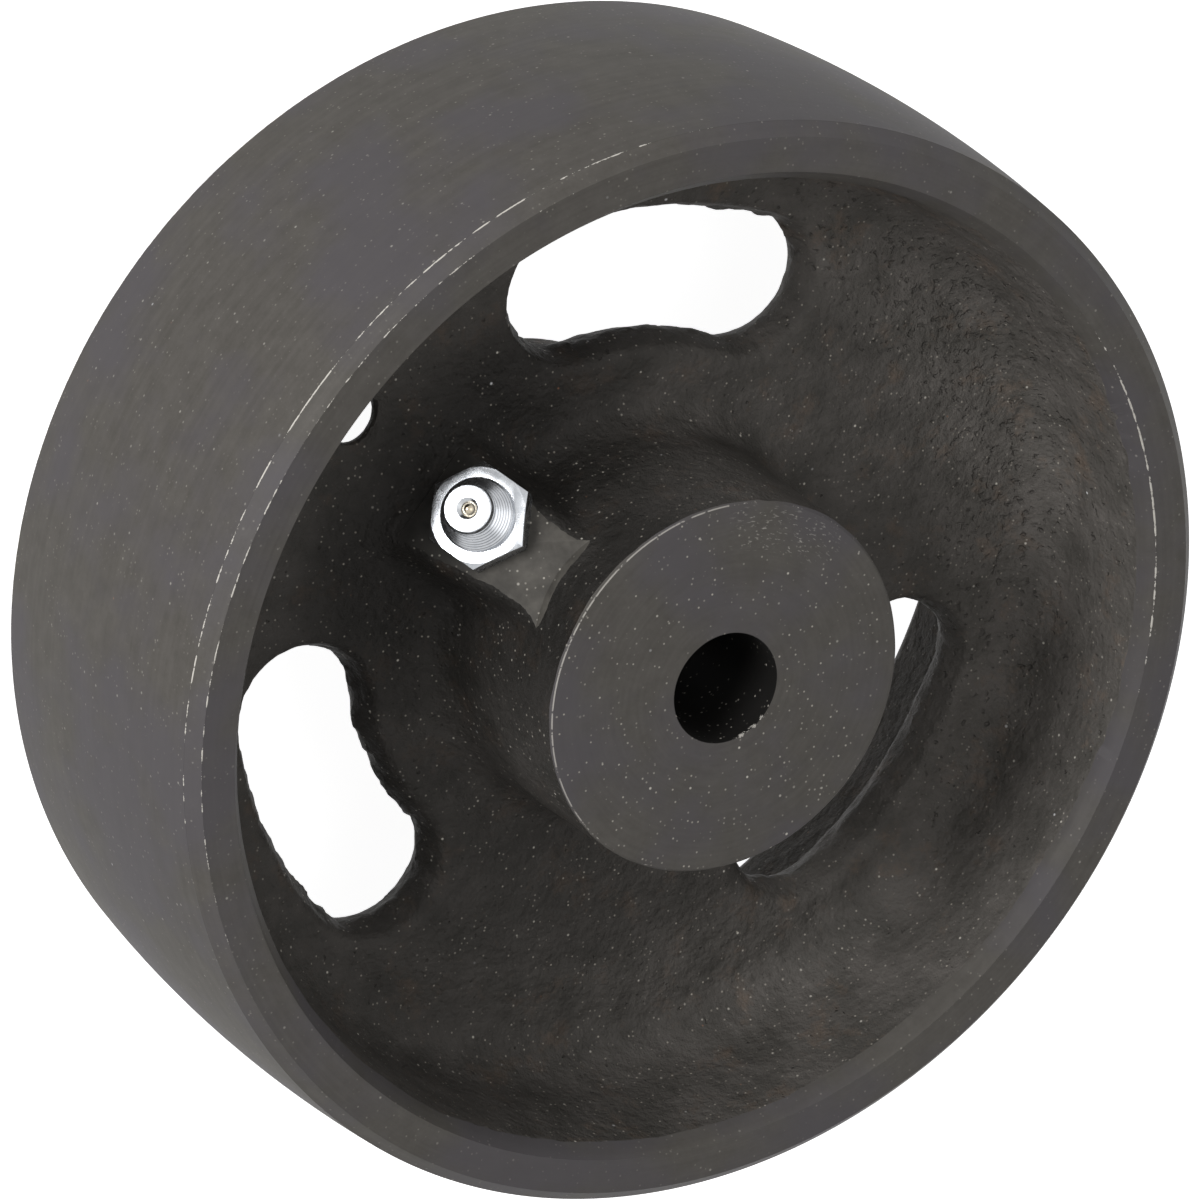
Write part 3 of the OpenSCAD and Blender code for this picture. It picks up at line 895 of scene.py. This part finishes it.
def millPad():
    # the cutter stops short of the hub's side
    clearSelection()
    bpy.ops.mesh.primitive_cube_add(size=mm)
    mill = bpy.context.active_object
    for corner in mill.data.vertices:
        corner.co = (
            (boss["millFoot"] if corner.co.x > 0 else -boss["millTop"]) * mm,
            math.copysign(boss["millWidth"] / 2, corner.co.y) * mm,
            (12 if corner.co.z > 0 else 0) * mm,
        )
    place(mill, seatPlace)
    clearSelection()
    clear = hubRadius + boss["millClear"]
    bpy.ops.mesh.primitive_cone_add(
        vertices=128, radius1=(clear + midHeight * hubTan) * mm, radius2=clear * mm, depth=midHeight * mm,
        location=(0, 0, 1.5 * midHeight * mm))
    hubSide = bpy.context.active_object
    place(hubSide, hubSide.matrix_world.copy())
    cut(mill, hubSide)
    cut(rawWheel, mill, material=turnedMetal)


def drill(diameter, depth, steps):
    clearSelection()
    past = 3
    bpy.ops.mesh.primitive_cylinder_add(
        vertices=steps, radius=diameter / 2 * mm, depth=(depth + past) * mm,
        location=(0, 0, (past - depth) / 2 * mm))
    tool = bpy.context.active_object
    place(tool, tool.matrix_world.copy())
    place(tool, seatPlace)
    cut(rawWheel, tool, material=turnedMetal)


millPad()
drill(boss["passage"], boss["seatRadius"] / math.sin(bossTilt), 32)
drill(boss["tapDiameter"], boss["tapDepth"], 64)
rawWheel.name = "castWheel"
pick(rawWheel)
bpy.ops.object.shade_smooth_by_angle(angle=math.radians(32))
print("machined", len(rawWheel.data.polygons), sum(len(p.vertices) - 2 for p in rawWheel.data.polygons))

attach(rawWheel, "wheel")
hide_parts("wheel_casting")

nipple = {  # millimetres, along its own axis from the pad
    "shankRadius": 4.0,
    "shankLength": 6.5,
    "threadPitch": 1.0,
    "threadDepth": 0.5,
    "hexFlats": 12,
    "hexThick": 3.5,
    "hexCorner": 0.5,
    "neckRadius": 4.75,
    "neckFoot": 1.0,
    "grooveRadius": 2.7,
    "headRadius": 3.35,
    "headTop": 3.1,
    "headHeight": 2.2,
    "underHead": 0.35,  # radius of the groove under the head
    "height": 6.6,
    "rings": 8,
    "ringDepth": 0.12,
    "shankBore": 0.6,
    "chamberFloor": 1.0,
    "ballRadius": 1.0,
    "ballGap": 0.05,
    "seatRadius": 0.85,
    "mouthRadius": 1.33,
    "mouthDepth": 0.45,
    "steps": 96,
}


def neckEnds():
    # heights between which the neck tapers
    n = nipple
    return n["hexThick"] + n["neckFoot"], n["hexThick"] + n["height"] - n["headHeight"] - n["underHead"]


def nippleOutline():
    # half the section of the steel body, from the shank's end up over the head and down into the valve
    n = nipple
    top = n["hexThick"] + n["height"]
    headFoot = top - n["headHeight"]
    outline = [(n["shankBore"], -n["shankLength"]), (n["shankRadius"] - 0.6, -n["shankLength"])]
    rows = 60  # along the thread
    threadLength = n["shankLength"] - 1.2
    outline += [(n["shankRadius"], 0.6 - n["shankLength"] + i * threadLength / rows) for i in range(rows + 1)]
    outline += [(n["shankRadius"] - 0.5, -0.5), (n["shankRadius"] - 0.5, 0.1), (n["neckRadius"], 0.1)]
    coneFoot, coneTop = neckEnds()
    outline += [(n["neckRadius"], coneFoot - 0.25), (n["neckRadius"] - 0.08, coneFoot)]
    for i in range(1, n["rings"] * 4 + 1):
        share = i / (n["rings"] * 4)
        ring = n["ringDepth"] * math.cos(math.tau * share * n["rings"])
        outline.append((
            n["neckRadius"] + (n["grooveRadius"] - n["neckRadius"]) * share - n["ringDepth"] + ring,
            coneFoot + (coneTop - coneFoot) * share))
    outline += arcPoints(n["grooveRadius"] + 0.3, headFoot, n["underHead"], 210, 110, 6)
    edge = 0.28
    outline += arcPoints(n["headRadius"] - edge, headFoot + 0.95, edge, -55, 60, 8)
    outline += arcPoints(n["headTop"] - 0.2, top - 0.2, 0.2, 30, 90, 5)
    outline += [(n["mouthRadius"] + 0.08, top), (n["mouthRadius"], top - 0.06)]
    seatHeight = top - n["mouthDepth"]
    outline += [(n["seatRadius"] + 0.05, seatHeight + 0.04), (n["seatRadius"], seatHeight)]
    cavity = n["ballRadius"] + n["ballGap"]
    drop = math.sqrt(cavity ** 2 - n["seatRadius"] ** 2)
    arcStart = math.degrees(math.atan2(drop, n["seatRadius"]))
    outline += arcPoints(0, seatHeight - drop, cavity, arcStart, 0, 8)[1:]
    outline += [(cavity, n["chamberFloor"]), (n["shankBore"], n["chamberFloor"])]
    return outline


def cutThread(obj):
    # the shank's rows of points sink into a helix
    n = nipple
    moved = []
    for vertex in obj.data.vertices:
        point = vertex.co / mm
        radius = math.hypot(point.x, point.y)
        if abs(radius - n["shankRadius"]) < 0.01 and point.z < -0.4:
            turn = math.atan2(point.y, point.x) / math.tau
            phase = (point.z / n["threadPitch"] - turn) % 1
            depth = n["threadDepth"] * (1 - abs(2 * phase - 1))
            point = Vector((point.x, point.y, 0)) * (1 - depth / radius) + Vector((0, 0, point.z))
        moved += [point.x * mm, point.y * mm, point.z * mm]
    obj.data.vertices.foreach_set("co", moved)
    obj.data.update()


def addHexagon():
    # a six-sided bar whose corners a cone rounds off
    n = nipple
    corner = n["hexFlats"] / 2 / math.cos(math.radians(30))
    clearSelection()
    bpy.ops.mesh.primitive_cylinder_add(
        vertices=6, radius=corner * mm, depth=n["hexThick"] * mm, location=(0, 0, n["hexThick"] / 2 * mm),
        rotation=(0, 0, math.radians(30)))
    hexagon = bpy.context.active_object
    place(hexagon, hexagon.matrix_world.copy())
    flat = n["hexFlats"] / 2
    rounding = lathe("hexRounding", [
        (2.5, -0.01), (flat + 0.45, -0.01), (flat + 1.1, 0.3), (flat + 1.1, n["hexThick"] - n["hexCorner"]),
        (flat + 0.12, n["hexThick"] + 0.01), (2.5, n["hexThick"] + 0.01)], n["steps"])
    cut(hexagon, rounding, "INTERSECT")
    applyModifier(hexagon, "BEVEL", width=0.09 * mm, segments=2, limit_method="ANGLE",
                  angle_limit=math.radians(25))
    return hexagon


greaseNipple = lathe("greaseNipple", nippleOutline(), nipple["steps"])
cutThread(greaseNipple)
cut(greaseNipple, addHexagon(), "UNION")
place(greaseNipple, seatPlace)
pick(greaseNipple)
bpy.ops.object.shade_smooth_by_angle(angle=math.radians(28))
finish(greaseNipple, zincPlate())
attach(greaseNipple, "wheel")
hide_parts("grease_nipple")
print("nipple", len(greaseNipple.data.polygons))

finish(frame["nodes"]["check_ball"], polishedSteel("groundBallSteel", "#a79c88", "#d2c8b4", 0.12, 0.24))

spring = {  # millimetres, along the nipple's axis
    "wire": 0.35,
    "turns": 7,
    "foot": 1.0,
    "top": 7.98,
    "radius": 0.825,
    "steps": 28,
    "travel": 1.0,
}


def windSpring():
    # a round wire wound up its axis, at rest: it is not made to shorten as the ball is pushed in
    s = spring
    clearSelection()
    bpy.ops.mesh.primitive_circle_add(
        vertices=10, radius=s["wire"] / 2 * mm, rotation=(math.radians(90), 0, 0),
        location=(s["radius"] * mm, 0, (s["foot"] + s["wire"] / 2) * mm))
    coil = bpy.context.active_object
    coil.name = "ballSpring"
    place(coil, coil.matrix_world.copy())
    rise = s["top"] - s["foot"] - s["wire"]
    applyModifier(coil, "SCREW", angle=math.tau, iterations=s["turns"], steps=s["steps"],
                  render_steps=s["steps"], screw_offset=rise / s["turns"] * mm)
    editAll(coil)
    bpy.ops.mesh.fill_holes(sides=0)
    cleanUp(coil)
    place(coil, seatPlace)
    pick(coil)
    bpy.ops.object.shade_smooth_by_angle(angle=math.radians(50))
    return coil


ballSpring = windSpring()
finish(ballSpring, polishedSteel("drawnSpringWire", "#8d8f92", "#b4b6b9", 0.25, 0.4))
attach(ballSpring, "wheel")
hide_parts("nipple_spring")
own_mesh(ballSpring)
print("spring", len(ballSpring.data.polygons))

stage = {"half": 4.0, "white": "#f2f2f2", "glow": 0.95, "dayLevel": 0.31}  # half: of the floor's side
camera = {  # its place in millimetres and its own axes
    "lens": 279.34,
    "sensor": 36,
    "place": (-628.2, 365.8, 993.1),
    "right": (0.85395, 0.18485, 0.48642),
    "up": (0, 0.93478, -0.35524),
    "back": (-0.52036, 0.30336, 0.79825),
}
lights = [  # how far right, up and back from the wheel in metres, size and power
    {"name": "keyLight", "right": -0.72, "up": 0.14, "back": 1.07, "size": 0.5, "power": 11.6},
    {"name": "fillLight", "right": 0.62, "up": 0.0, "back": 1.14, "size": 0.8, "power": 2.6},
]


def seenRays(tree):
    # 1 for rays that show the background itself, straight or in a shiny or clear surface
    path = addNode(tree, "ShaderNodeLightPath", {})
    seen = addNode(tree, "ShaderNodeMath", {
        0: path.outputs["Is Camera Ray"], 1: path.outputs["Is Glossy Ray"]}, operation="MAXIMUM")
    return addNode(tree, "ShaderNodeMath", {
        0: seen, 1: path.outputs["Is Transmission Ray"]}, operation="MAXIMUM")


def paperSweep():
    # white background paper: it glows to the eye but still takes a soft shadow
    material = bpy.data.materials.new("whiteBackgroundPaper")
    material.use_nodes = True
    tree = material.node_tree
    shader = tree.nodes["Principled BSDF"]
    shader.inputs["Base Color"].default_value = hexColour(stage["white"])
    shader.inputs["Roughness"].default_value = 0.9
    shader.inputs["Emission Color"].default_value = (1, 1, 1, 1)
    glow = addNode(tree, "ShaderNodeMath", {0: seenRays(tree), 1: stage["glow"]}, operation="MULTIPLY")
    tree.links.new(glow.outputs[0], shader.inputs["Emission Strength"])
    return material


clearSelection()
bpy.ops.mesh.primitive_plane_add(size=2 * stage["half"], location=(0, 0, 0))
floor = bpy.context.active_object
floor.name = "floor"
floor.data.materials.append(paperSweep())

world = bpy.data.worlds.new("studio")
bpy.context.scene.world = world
world.use_nodes = True
background = world.node_tree.nodes["Background"]
background.inputs["Color"].default_value = (1, 1, 1, 1)
level = addNode(world.node_tree, "ShaderNodeMapRange", {
    "Value": seenRays(world.node_tree), "To Min": stage["dayLevel"], "To Max": 1.0})
world.node_tree.links.new(level.outputs[0], background.inputs["Strength"])

right, up, back = (Vector(camera[side]) for side in ("right", "up", "back"))
middle = Vector((0, 0, midHeight * mm))
for light in lights:
    clearSelection()
    spot = middle + right * light["right"] + up * light["up"] + back * light["back"]
    bpy.ops.object.light_add(type="AREA", location=spot)
    lamp = bpy.context.active_object
    lamp.name = light["name"]
    lamp.data.energy = light["power"]
    lamp.data.size = light["size"]
    lamp.rotation_euler = (spot - middle).to_track_quat("Z", "Y").to_euler()

bpy.context.scene.view_settings.view_transform = "Standard"
clearSelection()
bpy.ops.object.camera_add(location=Vector(camera["place"]) * mm)
view = bpy.context.active_object
view.rotation_euler = Matrix((right, up, back)).transposed().to_euler()
view.data.lens = camera["lens"]
view.data.sensor_width = camera["sensor"]
view.data.clip_start = 0.01
bpy.context.scene.camera = view
